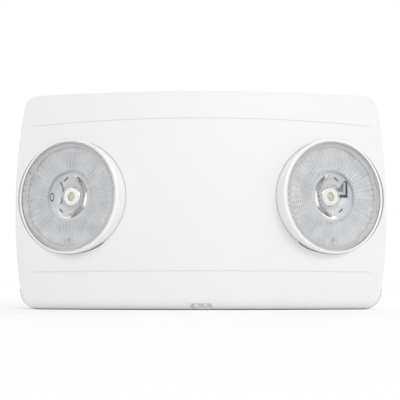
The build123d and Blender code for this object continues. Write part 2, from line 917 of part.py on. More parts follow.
ring_screw_end = friction_ring_back - screw_bite + screw_tip_room
write_pair(
    screws(swivel_plane, ring_screw_places, retaining_ring_back, ring_screw_end),
    "ring_screws",
)

# Main board and what stands on it
board_plane = Plane.XZ.offset(board_front)


def on_board(x, z):
    """A place on the board, measured from its middle."""
    return Location((x, board_middle_height + z))


with BuildPart() as main_board:
    with BuildSketch(Plane.XZ.offset(board_back)):
        with Locations((0, board_middle_height)):
            RectangleRounded(board_width, board_height, board_corner_radius)
        with Locations(*standoff_places):
            Circle(screw_hole_radius, mode=Mode.SUBTRACT)
    extrude(amount=board_thickness)
write(main_board.part, "main_board")

transformer_place = on_board(-transformer_left, transformer_rise)
core_base = (winding_stack - core_stack) / 2
with BuildPart() as transformer:
    with BuildSketch(board_plane):
        with Locations(transformer_place):
            Rectangle(core_width, core_height)
    extrude(amount=core_base + core_stack)
    with BuildSketch(board_plane):
        with Locations(transformer_place):
            RectangleRounded(winding_width, winding_height, core_base)
    extrude(amount=winding_stack)
write(transformer.part, "transformer")

with BuildPart() as relay:
    with BuildSketch(board_plane):
        with Locations(on_board(relay_right, relay_rise)):
            Rectangle(relay_width, relay_height)
    extrude(amount=relay_depth)
    chamfer(relay.edges().group_by(Axis.Y)[0], relay_edge)
write(relay.part, "relay")

capacitor_step = large_capacitor_radius + capacitor_gap + small_capacitor_radius
large_place = on_board(capacitors_right, capacitors_rise)
small_place = on_board(capacitors_right, capacitors_rise - capacitor_step)
with BuildPart() as capacitors:
    for radius, height, place in (
        (large_capacitor_radius, large_capacitor_height, large_place),
        (small_capacitor_radius, small_capacitor_height, small_place),
    ):
        with BuildSketch(board_plane):
            with Locations(place):
                Circle(radius)
        extrude(amount=height)
        with BuildSketch(board_plane.offset(2 * sleeve_groove)):
            with Locations(place):
                Circle(radius)
                Circle(radius - sleeve_groove, mode=Mode.SUBTRACT)
        extrude(amount=2 * sleeve_groove, mode=Mode.SUBTRACT)
write(capacitors.part, "capacitors")

with BuildPart() as rectifier_diodes:
    with BuildSketch(Plane.XY.offset(board_middle_height + diodes_rise)):
        with GridLocations(diode_pitch, 0, diode_count, 1):
            with Locations((diodes_right, -board_front - diode_radius)):
                Circle(diode_radius)
    extrude(amount=-diode_length)
write(rectifier_diodes.part, "rectifier_diodes")

terminal_place = on_board(-terminal_left, (terminal_height - board_height) / 2)
with BuildPart() as terminal_block:
    with BuildSketch(board_plane):
        with Locations(terminal_place):
            Rectangle(pole_count * pole_pitch, terminal_height)
    extrude(amount=terminal_depth)
    with BuildSketch(board_plane.offset(terminal_depth)):
        with Locations(terminal_place):
            with GridLocations(pole_pitch, 0, pole_count, 1):
                Circle(terminal_screw_radius)
    extrude(amount=-terminal_screw_sink, mode=Mode.SUBTRACT)
    with BuildSketch(Plane.XY.offset(board_middle_height - board_height / 2)):
        with Locations((-terminal_left, -board_front - terminal_hole)):
            with GridLocations(pole_pitch, 0, pole_count, 1):
                Rectangle(terminal_hole, terminal_hole)
    extrude(amount=terminal_hole, mode=Mode.SUBTRACT)
write(terminal_block.part, "terminal_block")

# Plugs hang a little below the board's lower edge, leads leaving downwards
plug_bottom = board_middle_height - board_height / 2 - plug_drop
plug_places = [(x, plug_bottom) for x in (-head_plug_x, 0, battery_plug_x, head_plug_x)]
with BuildPart() as lead_connectors:
    with BuildSketch(board_plane):
        with Locations(*plug_places):
            Rectangle(plug_width, plug_height, align=(Align.CENTER, Align.MIN))
    extrude(amount=plug_depth)
    chamfer(lead_connectors.edges().group_by(Axis.Y)[0], plug_edge)
write(lead_connectors.part, "lead_connectors")

write(
    screws(from_the_wall, standoff_places, board_front, board_back - screw_bite),
    "board_screws",
)

# Battery pack, strap and screws
with BuildPart() as battery_pack:
    with BuildSketch(Plane.XY.offset(battery_bottom)):
        with Locations((0, -battery_back - cell_radius)):
            with GridLocations(2 * cell_radius, 0, cell_count, 1):
                Circle(cell_radius)
            Rectangle(2 * cell_radius * (cell_count - 1), 2 * (cell_radius - cell_valley))
    extrude(amount=cell_length)
    fillet(battery_pack.faces().filter_by(Axis.Z).edges(), cell_edge)
write(battery_pack.part, "battery_pack")

strap_inner = cradle_half_width + cradle_wall + battery_rest
strap_floor = plate_thickness + strap_boss_height
strap_over = strap_front - strap_thickness
with BuildPart() as battery_strap:
    with BuildSketch(Plane.XY.offset(battery_middle - strap_width / 2)):
        with BuildLine():
            Polyline(
                (-strap_inner - strap_foot, -strap_floor),
                (-strap_inner - strap_foot, -strap_floor - strap_thickness),
                (-strap_inner - strap_thickness, -strap_floor - strap_thickness),
                (-strap_inner - strap_thickness, -strap_front),
                (strap_inner + strap_thickness, -strap_front),
                (strap_inner + strap_thickness, -strap_floor - strap_thickness),
                (strap_inner + strap_foot, -strap_floor - strap_thickness),
                (strap_inner + strap_foot, -strap_floor),
                (strap_inner, -strap_floor),
                (strap_inner, -strap_over),
                (-strap_inner, -strap_over),
                (-strap_inner, -strap_floor),
                close=True,
            )
        make_face()
    extrude(amount=strap_width)
    with BuildSketch(Plane.XZ.offset(strap_floor)):
        with Locations(*strap_screw_places):
            Circle(screw_hole_radius)
    extrude(amount=strap_thickness, mode=Mode.SUBTRACT)
write(battery_strap.part, "battery_strap")

strap_screw_head = strap_floor + strap_thickness
write(
    screws(from_the_wall, strap_screw_places, strap_screw_head, plate_thickness + cover_fit),
    "strap_screws",
)

# Test panel: button, its switch and plunger, and the charge indicator
with BuildPart() as test_button:
    with BuildSketch(panel_plane.offset(-button_flange_back)):
        with Locations((button_x, 0)):
            Circle(button_radius)
    extrude(amount=button_flange_back - button_sink)
    fillet(test_button.edges().sort_by(Axis(panel_point, panel_out))[-1], button_edge)
    with BuildSketch(panel_plane.offset(-button_flange_back)):
        with Locations((button_x, 0)):
            Circle(button_flange_radius)
    extrude(amount=button_flange)
    with BuildSketch(panel_plane.offset(-stem_end)):
        with Locations((button_x, 0)):
            Circle(button_stem_radius)
    extrude(amount=button_stem)
write(test_button.part, "test_button")

with BuildPart() as switch_plunger:
    with BuildSketch(panel_plane.offset(-stem_end)):
        with Locations((button_x, 0)):
            Circle(plunger_radius)
    extrude(amount=-plunger_length)
write(switch_plunger.part, "switch_plunger")

with BuildPart() as test_switch:
    with BuildSketch(panel_plane.offset(-switch_back)):
        with Locations((button_x, 0)):
            Rectangle(switch_size, switch_size)
    extrude(amount=switch_height)
    with BuildSketch(panel_plane.offset(-switch_front)):
        with Locations((button_x, 0)):
            Circle(plunger_radius + plunger_gap)
    plunger_room = plunger_length - switch_gap + button_travel + button_rest_gap
    extrude(amount=-plunger_room, mode=Mode.SUBTRACT)
write(test_switch.part, "test_switch")

indicator_back = indicator_sink + indicator_length
with BuildPart() as charge_indicator:
    with BuildSketch(panel_plane.offset(-indicator_back)):
        with Locations((indicator_x, 0)):
            Circle(indicator_radius)
    extrude(amount=indicator_length)
    fillet(charge_indicator.edges().sort_by(Axis(panel_point, panel_out))[-1], indicator_dome)
    with BuildSketch(panel_plane.offset(-indicator_back)):
        with Locations((indicator_x, 0)):
            Circle(indicator_radius + indicator_flange)
    extrude(amount=indicator_flange)
    with BuildSketch(panel_plane.offset(-indicator_back)):
        with Locations((indicator_x, 0)):
            with GridLocations(indicator_radius, 0, 2, 1):
                Rectangle(indicator_leg, indicator_leg)
    extrude(amount=indicator_back - switch_back)
write(charge_indicator.part, "charge_indicator")

with BuildPart() as test_board:
    with BuildSketch(panel_plane.offset(-test_board_back)):
        Rectangle(test_board_width, test_board_height)
        with GridLocations(test_post_spacing, 0, 2, 1):
            Circle(test_stake_radius + screw_fit, mode=Mode.SUBTRACT)
    extrude(amount=test_board_thickness)
write(test_board.part, "test_board")


# Leads, each a limp tube of straight runs joined by wide arcs


def corner_radii(route):
    """The widest arcs that the runs leave room for, one for each corner."""
    radii = []
    for before, corner, after in zip(route, route[1:], route[2:]):
        coming = corner - before
        going = after - corner
        turn = radians(coming.get_angle(going))
        radii.append(lead_arc_share * min(coming.length, going.length) / tan(turn / 2))
    return radii


def lead(name, points, diameter):
    route = [Vector(*point) for point in points]
    radii = corner_radii(route)
    with BuildPart() as tube:
        with BuildLine():
            path = FilletPolyline(*route, radius=radii)
        with BuildSketch(Plane(route[0], z_dir=route[1] - route[0])):
            Circle(diameter / 2)
        sweep(path=path)
    expected = pi * diameter**2 / 4 * path.length
    print(name, "radii", [round(r, 1) for r in radii], "length", round(path.length, 1),
          "volume share", round(tube.part.volume / expected, 4))
    return tube.part


plug_axis = -board_front - plug_depth / 2
head_lead_points = [
    (head_plug_x, plug_axis, plug_bottom),
    (34.0, -15.5, 9.0),
    (45.0, -15.5, -1.0),
    (62.0, -14.5, -5.0),
    swivel_point - facing(swivel_angle) * (cap_back + head_lead_straight),
    swivel_point - facing(swivel_angle) * tail_depth,
]
write_pair(lead("head_lead", head_lead_points, head_lead_diameter), "head_lead")

battery_lead_points = [
    (22.0, -battery_back - cell_radius, battery_top),
    (22.0, -13.6, -12.0),
    (18.0, -15.5, 4.0),
    (battery_plug_x, plug_axis, plug_bottom),
]
write(lead("battery_lead", battery_lead_points, battery_lead_diameter), "battery_lead")

test_lead_points = [
    panel_point - panel_out * test_board_back,
    panel_point - panel_out * (test_board_back + test_lead_straight),
    (0.0, -44.0, -36.0),
    (0.0, -31.0, -15.0),
    (0.0, -15.5, 2.0),
    (0.0, plug_axis, plug_bottom),
]
write(lead("test_lead", test_lead_points, test_lead_diameter), "test_lead")
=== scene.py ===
import json
from math import atan2, cos, pi, radians, sin

import bmesh
import bpy
from mathutils import Matrix, Vector


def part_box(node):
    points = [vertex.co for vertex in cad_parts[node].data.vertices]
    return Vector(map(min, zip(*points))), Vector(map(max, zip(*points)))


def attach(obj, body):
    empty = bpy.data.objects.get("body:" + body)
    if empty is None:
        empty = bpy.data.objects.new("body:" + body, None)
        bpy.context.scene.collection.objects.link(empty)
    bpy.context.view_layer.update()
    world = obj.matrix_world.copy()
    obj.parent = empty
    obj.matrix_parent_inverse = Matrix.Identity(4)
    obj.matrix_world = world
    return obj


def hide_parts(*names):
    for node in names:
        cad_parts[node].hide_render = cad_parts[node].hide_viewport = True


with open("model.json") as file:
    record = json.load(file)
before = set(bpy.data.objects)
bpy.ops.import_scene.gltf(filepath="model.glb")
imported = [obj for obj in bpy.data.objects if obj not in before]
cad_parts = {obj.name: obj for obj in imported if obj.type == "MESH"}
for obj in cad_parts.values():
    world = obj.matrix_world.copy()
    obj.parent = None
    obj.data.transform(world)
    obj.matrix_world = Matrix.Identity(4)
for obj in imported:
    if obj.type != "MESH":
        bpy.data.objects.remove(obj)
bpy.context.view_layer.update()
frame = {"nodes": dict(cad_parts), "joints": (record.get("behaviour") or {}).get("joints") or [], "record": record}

scene = bpy.context.scene

# The photograph's camera: on the light's middle line, a little below the heads
CAMERA_PLACE = (-0.0007, -0.6908, -0.0602)
CAMERA_PITCH = 5.49
CAMERA_LENS = 80.4
SENSOR_WIDTH = 36.0

# The light stands on its flat underside, a hair above the floor
FLOOR_GAP = 0.0003
FLOOR_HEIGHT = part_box("front_cover")[0].z - FLOOR_GAP
FLOOR_HALF = 4.0

# Soft studio light, in shares of what makes a white surface render white. The room is
# brighter behind the object than in front of it, and a little brighter on the right.
ROOM_LIGHT = 0.825
BRIGHT_WAY = (0.14, 0.2, 0.0)
KEY_LIGHT = 0.24
KEY_TURN = 14.0
KEY_RISE = 27.0
KEY_DISTANCE = 1.8
KEY_SIZE = 0.8
TARGET = Vector((0.0, -0.04, 0.0))

# Finishes: grain and patches in cells a metre, bump depths in metres
GRAIN_SCALE = 2600.0
PATCH_SCALE = 35.0
GRAIN_DEPTH = 0.00002
GRAIN_BUMP = 0.25
METAL_BUMP = 0.2
METAL_STRETCH = 40
METAL_SHADE = 0.8
TRACK_CELLS = 260.0
TRACK_PITCH = 0.18
TRACK_EDGE = 5.0
TRACK_BUMP = 0.3
TRACK_DEPTH = 0.00005
PURE_WHITE = (1.0, 1.0, 1.0)

# Lens plastic: the painted shade on the outer side of its bowl and along its pattern's seams, and the slow waves
# in its faces
LENS_INDEX = 1.49
LENS_ROUGHNESS = 0.02
BOWL_ROUGHNESS = 0.08
# Painted bluish shade on the outer side of each bowl
BOWL_SHADE_TONE = (0.91, 0.95, 1.0)
# Painted shade along the pattern's seams, made uneven in patches
SEAM_SHADE_TONE = (0.4, 0.44, 0.52)
PATTERN_TONE = 0.72
PATTERN_PATCHES = 130.0
PATCHES_LOW = -1.8
PATCHES_HIGH = 3.0
WAVE_SCALE = 220.0
WAVE_BUMP = 0.08
WAVE_DEPTH = 0.0002

# From here on lengths are millimetres, across and along the lens's own axis
MM = 0.001
OUTWARD = {"left": -1.0, "right": 1.0}
SHARP_ANGLE = 30.0
MERGE_DISTANCE = 0.0005
NEAR = 0.3

# Lens, set as the solid it stands for
LENS_TILT = 12.8
LENS_STANDOFF = 6.2
LENS_RADIUS = 37.7
LENS_RISE = 0.3
LENS_BACK = 3.0
FLANGE_RADIUS = 38.8
FLANGE_CHAMFER = 0.5
FLANGE_SEAT = 0.02
PATTERN_INNER = 16.8
PATTERN_OUTER = 37.5
PATTERN_RIBS = 54
PATTERN_RINGS = 13
PATTERN_DEPTH = 0.34
STEPS_PER_PILLOW = 6
BOWL_RADIUS = 16.0
BOWL_TIP_RADIUS = 7.0
BOWL_TIP = 8.1
BOWL_BULGE = 1.0
BOWL_LIP = 0.6
POCKET_RADIUS = 6.7
POCKET_TOP = 7.4
POCKET_CROWN = 6.8

# Painted shade along the lens: its pattern's radial seams fade outwards and its rings fade inwards,
# and a painted dark line of shade follows the rim's outer side and the bowl's upper outer edge
RADIAL_FADE = 0.6
RING_START = 0.3
RIM_LINE = 1.6
BOWL_LINE_WAY = (0.8, 0.6)
BOWL_LINE = 2.0
BOWL_LINE_START = 0.8

# Lamp board seen through the bowl, on the reflector's floor
FLOOR_DEPTH = 8.5
BOARD_DEPTH = 9.7
COLLAR_INNER = 2.9
COLLAR_OUTER = 6.9
COLLAR_FRONT = 7.9
COLLAR_CROWN = 0.15
COLLAR_INNER_ROUND = (0.3, 0.5)
COLLAR_OUTER_ROUND = (0.5, 0.6)
COLLAR_STEPS = 72
# Painted shade of four slots round the bowl, as thin black boxes on the reflector's floor
SLOT_LENGTH = 3.4
SLOT_WIDTH = 0.75
SLOTS = ((5.0, 11.6, 56.0), (8.2, -8.9, -50.0), (-7.2, 8.0, 132.0), (-7.2, -8.0, 228.0))
SLOT_FRONT = 8.38

# Right lamp board's connector, with its lid and socket, these set up and to the left so that its black housing
# shows as painted shade along the right and bottom
CONNECTOR_MIDDLE = (9.1, 5.2)
CONNECTOR_SIZE = (9.2, 10.8)
CONNECTOR_FRONT = 8.3
CONNECTOR_CORNER = (-1.9, 1.5)
CONNECTOR_EDGE = 0.08
CONNECTOR_LID = (7.0, 8.0)
# The lid and socket sit up and to the left, so the black housing shows as painted shade along the right and bottom
CONNECTOR_LID_SHIFT = (-0.5, 0.6)
CONNECTOR_LID_RISE = 0.12
CONNECTOR_SOCKET = (5.2, 5.6)
CONNECTOR_SOCKET_SHIFT = (-1.2, 1.2)
CONNECTOR_SOCKET_RISE = 0.2

# Left lamp board's lead loop, and the painted shade of a curved edge on the left reflector's floor
LEAD_LOOP_MIDDLE = (-15.4, 0.4)
LEAD_LOOP_INNER = 1.9
LEAD_LOOP_OUTER = 2.8
LEAD_LOOP_NARROW = 0.55
LEAD_LOOP_CROWN = 0.1
LEAD_LOOP_STEPS = 48
EDGE_SHADE_MIDDLE = (-13.1, 2.7)
EDGE_SHADE_SIZE = (6.5, 9.4)
EDGE_SHADE_WIDTH = 0.7
EDGE_SHADE_HALF_ANGLE = 52.0
EDGE_SHADE_STEPS = 24


# Node helpers


def new_node(tree, kind, **settings):
    node = tree.nodes.new(kind)
    for name, value in settings.items():
        setattr(node, name, value)
    return node


def set_inputs(node, **values):
    for name, value in values.items():
        node.inputs[name.replace("_", " ")].default_value = value
    return node


def join(tree, source, target):
    tree.links.new(source, target)


def new_group(name, inputs, outputs):
    """An empty node group with named float inputs and outputs."""
    group = bpy.data.node_groups.new(name, "ShaderNodeTree")
    for socket, default in inputs.items():
        made = group.interface.new_socket(socket, in_out="INPUT", socket_type="NodeSocketFloat")
        made.default_value = default
    for socket in outputs:
        group.interface.new_socket(socket, in_out="OUTPUT", socket_type="NodeSocketFloat")
    return group, group.nodes.new("NodeGroupInput"), group.nodes.new("NodeGroupOutput")


def place_group(tree, group, **values):
    node = tree.nodes.new("ShaderNodeGroup")
    node.node_tree = group
    return set_inputs(node, **values)


def noise(tree, scale, detail):
    """Noise on the object's own metres."""
    place = new_node(tree, "ShaderNodeTexCoord")
    made = new_node(tree, "ShaderNodeTexNoise")
    set_inputs(made, Scale=scale, Detail=detail)
    join(tree, place.outputs["Object"], made.inputs["Vector"])
    return made


def spread(tree, value, low, high):
    """Maps 0 to 1 onto low to high."""
    made = new_node(tree, "ShaderNodeMapRange")
    join(tree, value, made.inputs["Value"])
    for name, source in (("To Min", low), ("To Max", high)):
        if isinstance(source, (int, float)):
            made.inputs[name].default_value = source
        else:
            join(tree, source, made.inputs[name])
    return made.outputs["Result"]


def attribute(tree, name):
    return new_node(tree, "ShaderNodeAttribute", attribute_name=name).outputs["Fac"]


def build_grain_group():
    """Fine mould grain: a height for the bump and a slow change of gloss and tone."""
    group, given, result = new_group(
        "mould_grain", {"Grain Scale": GRAIN_SCALE, "Patch Scale": PATCH_SCALE}, ["Height", "Patches"]
    )
    grain = noise(group, 1.0, 3.0)
    join(group, given.outputs["Grain Scale"], grain.inputs["Scale"])
    patches = noise(group, 1.0, 2.0)
    join(group, given.outputs["Patch Scale"], patches.inputs["Scale"])
    join(group, grain.outputs["Fac"], result.inputs["Height"])
    join(group, patches.outputs["Fac"], result.inputs["Patches"])
    return group


GRAIN = build_grain_group()


def base_material(name, roughness, **shader_values):
    material = bpy.data.materials.new(name)
    material.use_nodes = True
    tree = material.node_tree
    shader = tree.nodes["Principled BSDF"]
    set_inputs(shader, Roughness=roughness, **shader_values)
    return material, tree, shader


def add_bump(tree, shader, height, strength, distance):
    bump = new_node(tree, "ShaderNodeBump")
    set_inputs(bump, Strength=strength, Distance=distance)
    join(tree, height, bump.inputs["Height"])
    join(tree, bump.outputs["Normal"], shader.inputs["Normal"])


def colour_mix(tree, factor, first, second):
    """A mix of two colours. A colour node's own sockets are 6 and 7, and its result is 2."""
    mix = new_node(tree, "ShaderNodeMix", data_type="RGBA")
    join(tree, factor, mix.inputs["Factor"])
    for number, source in ((6, first), (7, second)):
        if isinstance(source, tuple):
            mix.inputs[number].default_value = (*source, 1.0)
        else:
            join(tree, source, mix.inputs[number])
    return mix.outputs[2]


def moulded(name, light, dark, gloss, grain_depth=GRAIN_DEPTH, grain_scale=GRAIN_SCALE):
    """Moulded plastic: two close tones, uneven gloss and fine grain."""
    material, tree, shader = base_material(name, sum(gloss) / 2)
    grain = place_group(tree, GRAIN, Grain_Scale=grain_scale)
    tone = colour_mix(tree, grain.outputs["Patches"], dark, light)
    join(tree, tone, shader.inputs["Base Color"])
    rough = spread(tree, grain.outputs["Patches"], *gloss)
    join(tree, rough, shader.inputs["Roughness"])
    add_bump(tree, shader, grain.outputs["Height"], GRAIN_BUMP, grain_depth)
    return material


def white(level):
    return (level, level, level)


def metal(name, colour, gloss, line_scale):
    """Drawn or extruded metal: fine lines along one way."""
    material, tree, shader = base_material(name, sum(gloss) / 2, Metallic=1.0)
    place = new_node(tree, "ShaderNodeTexCoord")
    stretch = new_node(tree, "ShaderNodeMapping")
    stretch.inputs["Scale"].default_value = (line_scale, line_scale, line_scale / METAL_STRETCH)
    join(tree, place.outputs["Object"], stretch.inputs["Vector"])
    lines = set_inputs(new_node(tree, "ShaderNodeTexNoise"), Scale=1.0, Detail=4.0)
    join(tree, stretch.outputs["Vector"], lines.inputs["Vector"])
    darker = tuple(METAL_SHADE * part for part in colour)
    tone = colour_mix(tree, lines.outputs["Fac"], darker, colour)
    join(tree, tone, shader.inputs["Base Color"])
    join(tree, spread(tree, lines.outputs["Fac"], *gloss), shader.inputs["Roughness"])
    add_bump(tree, shader, lines.outputs["Fac"], METAL_BUMP, GRAIN_DEPTH)
    return material


def clear_plastic(name):
    """Clear moulding, with painted shade along the seams between its pillows and at its rim, and a painted bluish
    shade on the bowl's outer side.
    """
    material, tree, shader = base_material(name, LENS_ROUGHNESS)
    set_inputs(shader, Transmission_Weight=1.0, IOR=LENS_INDEX)
    # Painted shade along the pillows' seams, made uneven by patches
    patches = noise(tree, PATTERN_PATCHES, 3.0)
    patchy = new_node(tree, "ShaderNodeMath", operation="MULTIPLY", use_clamp=True)
    uneven = spread(tree, patches.outputs["Fac"], PATCHES_LOW, PATCHES_HIGH)
    join(tree, uneven, patchy.inputs[0])
    join(tree, attribute(tree, "seam_shade"), patchy.inputs[1])
    darker = new_node(tree, "ShaderNodeMath", operation="MAXIMUM")
    join(tree, spread(tree, patchy.outputs["Value"], 0.0, PATTERN_TONE), darker.inputs[0])
    # Painted dark lines of shade at the rim and at the bowl's upper outer edge
    join(tree, attribute(tree, "line"), darker.inputs[1])
    # Painted bluish shade on the bowl's outer side
    clear = colour_mix(tree, attribute(tree, "bowl_shade"), PURE_WHITE, BOWL_SHADE_TONE)
    tone = colour_mix(tree, darker.outputs["Value"], clear, SEAM_SHADE_TONE)
    join(tree, tone, shader.inputs["Base Color"])
    rough = spread(tree, attribute(tree, "frost"), LENS_ROUGHNESS, BOWL_ROUGHNESS)
    join(tree, rough, shader.inputs["Roughness"])
    waves = noise(tree, WAVE_SCALE, 1.0)
    add_bump(tree, shader, waves.outputs["Fac"], WAVE_BUMP, WAVE_DEPTH)
    return material


def circuit_board(name, resist, copper):
    """Solder mask over a net of tracks."""
    material, tree, shader = base_material(name, 0.3)
    place = new_node(tree, "ShaderNodeTexCoord")
    cells = new_node(tree, "ShaderNodeTexVoronoi", distance="MANHATTAN", feature="F1")
    set_inputs(cells, Scale=TRACK_CELLS)
    join(tree, place.outputs["Object"], cells.inputs["Vector"])
    tracks = new_node(tree, "ShaderNodeMath", operation="PINGPONG")
    tracks.inputs[1].default_value = TRACK_PITCH
    join(tree, cells.outputs["Distance"], tracks.inputs[0])
    edge = spread(tree, tracks.outputs["Value"], 0.0, TRACK_EDGE)
    join(tree, colour_mix(tree, edge, resist, copper), shader.inputs["Base Color"])
    add_bump(tree, shader, tracks.outputs["Value"], TRACK_BUMP, TRACK_DEPTH)
    return material


REFLECTOR_TONES = ((0.97, 0.98, 0.99), (0.96, 0.97, 0.98))
TERMINAL_TONES = ((0.06, 0.4, 0.14), (0.05, 0.34, 0.12))

MATERIALS = {
    "white_cover": moulded("cover_plastic", white(0.885), white(0.875), (0.44, 0.54)),
    "white_plate": moulded("plate_plastic", white(0.86), white(0.84), (0.4, 0.5)),
    "white_head": moulded("head_plastic", white(0.93), white(0.92), (0.16, 0.24)),
    "clear_lens": clear_plastic("lens_plastic"),
    "white_reflector": moulded("reflector_plastic", *REFLECTOR_TONES, (0.12, 0.2)),
    "white_board": moulded("led_board_mask", white(0.93), white(0.9), (0.2, 0.3)),
    "yellow_phosphor": moulded("phosphor", (0.97, 0.94, 0.78), (0.95, 0.91, 0.7), (0.15, 0.25)),
    "bare_aluminium": metal("extruded_aluminium", (0.8, 0.81, 0.83), (0.28, 0.42), 900.0),
    "zinc_screw": metal("zinc_plate", (0.74, 0.74, 0.76), (0.2, 0.34), 1400.0),
    "black_rubber": moulded("rubber", white(0.03), white(0.02), (0.55, 0.7)),
    "grey_felt": moulded("felt", white(0.42), white(0.3), (0.85, 0.95), 0.0002, 900.0),
    "black_plastic": moulded("black_nylon", white(0.035), white(0.025), (0.35, 0.5)),
    "green_board": circuit_board("green_mask", (0.02, 0.16, 0.06), (0.08, 0.3, 0.12)),
    "iron_core": moulded("varnished_core", (0.34, 0.25, 0.16), (0.2, 0.14, 0.09), (0.3, 0.45)),
    "blue_relay": moulded("relay_case", (0.05, 0.16, 0.42), (0.04, 0.13, 0.37), (0.25, 0.35)),
    "dark_sleeve": moulded("capacitor_sleeve", (0.05, 0.06, 0.12), (0.03, 0.04, 0.09), (0.2, 0.3)),
    "green_terminal": moulded("terminal_nylon", *TERMINAL_TONES, (0.35, 0.45)),
    "natural_nylon": moulded("plug_nylon", (0.82, 0.79, 0.7), (0.78, 0.74, 0.65), (0.35, 0.45)),
    "battery_wrap": moulded("shrink_wrap", (0.05, 0.3, 0.24), (0.04, 0.26, 0.2), (0.15, 0.25)),
    "red_lead": moulded("red_sheath", (0.6, 0.04, 0.03), (0.5, 0.03, 0.02), (0.35, 0.45)),
    "grey_lead": moulded("grey_sheath", white(0.35), white(0.3), (0.35, 0.45)),
    "grey_button": moulded("button_plastic", white(0.88), white(0.85), (0.25, 0.35)),
    "clear_indicator": moulded("indicator_epoxy", (0.93, 0.93, 0.9), (0.9, 0.9, 0.87), (0.1, 0.2)),
}
POLISHED = metal("polished_aluminium", (0.98, 0.98, 0.98), (0.05, 0.14), 500.0)

SLOT_OF_NODE = {part["node"]: part["material_slot"] for part in frame["record"]["subparts"]}
for name, node in frame["nodes"].items():
    for holder in node.material_slots:
        holder.material = MATERIALS[SLOT_OF_NODE[name]]


# Lenses and what shows behind them


def lens_frame(side):
    """Places a lens's own frame, its axis towards the front, in the object's frame."""
    joint = next(j for j in frame["joints"] if j["name"] == f"head_{side}_swivel")
    swivel = Vector(joint["axis"]).normalized()
    axis = Matrix.Rotation(OUTWARD[side] * radians(LENS_TILT), 3, "Z") @ swivel
    up = Vector((0.0, 0.0, 1.0))
    turn = Matrix((up.cross(axis), up, axis)).transposed().to_4x4()
    place = Vector(joint["pos_m"]) + swivel * LENS_STANDOFF * MM
    return Matrix.Translation(place) @ turn


def finished_piece(shape, name, slot, side, finish=None):
    """Turns a bmesh in a lens's frame into a piece of that head, with its slot's finish or its own."""
    matrix = lens_frame(side) @ Matrix.Scale(MM, 4)
    bmesh.ops.transform(shape, matrix=matrix, verts=shape.verts)
    bmesh.ops.recalc_face_normals(shape, faces=shape.faces)
    for face in shape.faces:
        face.smooth = True
    for edge in shape.edges:
        edge.smooth = edge.calc_face_angle(0.0) < radians(SHARP_ANGLE)
    mesh = bpy.data.meshes.new(name)
    shape.to_mesh(mesh)
    shape.free()
    mesh.materials.append(finish or MATERIALS[slot])
    piece = bpy.data.objects.new(name, mesh)
    scene.collection.objects.link(piece)
    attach(piece, f"head_{side}")
    return piece


def open_profile(shape, points):
    """Edges along a half section, radius first and height along the axis second."""
    verts = [shape.verts.new((radius, 0.0, height)) for radius, height in points]
    return [shape.edges.new(pair) for pair in zip(verts, verts[1:])]


def spin_round(shape, steps):
    """Turns the whole half section round the lens's axis and closes its poles."""
    bmesh.ops.spin(
        shape,
        geom=shape.verts[:] + shape.edges[:],
        cent=(0.0, 0.0, 0.0),
        axis=(0.0, 0.0, 1.0),
        angle=2 * pi,
        steps=steps,
        use_merge=True,
    )
    bmesh.ops.remove_doubles(shape, verts=shape.verts, dist=MERGE_DISTANCE)


def shape_pattern(shape, side):
    """Raises the pillows at the lens's back, and marks where painted shade falls on its plastic and where it is
    frosted.
    """
    layers = shape.verts.layers.float
    seam_shade, frost, bowl_shade, line = (layers.new(name) for name in ("seam_shade", "frost", "bowl_shade", "line"))
    width = PATTERN_OUTER - PATTERN_INNER
    outward = OUTWARD[side]
    for vert in shape.verts:
        radius = vert.co.xy.length
        outer_side = max(0.0, outward * vert.co.x / max(radius, NEAR))
        # The bowl's outer side gets painted bluish shade
        if BOWL_TIP_RADIUS < radius < PATTERN_INNER and vert.co.z < -NEAR:
            vert[bowl_shade] = outer_side
        # Painted dark line of shade along the rim's outer side
        if radius > FLANGE_RADIUS - 1.5 * FLANGE_CHAMFER:
            vert[line] = min(1.0, RIM_LINE * outer_side)
        inside = PATTERN_INNER < radius < PATTERN_OUTER
        if inside and abs(vert.co.z + LENS_BACK) < NEAR / 10:
            around = 0.5 - 0.5 * cos(PATTERN_RIBS * atan2(vert.co.y, vert.co.x))
            along = 0.5 - 0.5 * cos(2 * pi * (radius - PATTERN_INNER) * PATTERN_RINGS / width)
            vert.co.z -= PATTERN_DEPTH * around * along
            # Painted shade along the radial seams and the rings
            share = (radius - PATTERN_INNER) / width
            radial = (1.0 - around) ** 2 * (1.0 - RADIAL_FADE * share)
            ringed = (1.0 - along) ** 3 * (RING_START + (1.0 - RING_START) * share)
            vert[seam_shade] = max(radial, ringed)
        if radius < BOWL_RADIUS and vert.co.z < -LENS_BACK - NEAR:
            vert[frost] = 1.0
        # Painted dark line of shade along the bowl's upper outer edge
        if BOWL_RADIUS - NEAR < radius < PATTERN_INNER + NEAR / 2:
            way = Vector((outward * BOWL_LINE_WAY[0], BOWL_LINE_WAY[1]))
            vert[line] = max(0.0, BOWL_LINE * way.dot(vert.co.xy) / radius - BOWL_LINE_START)


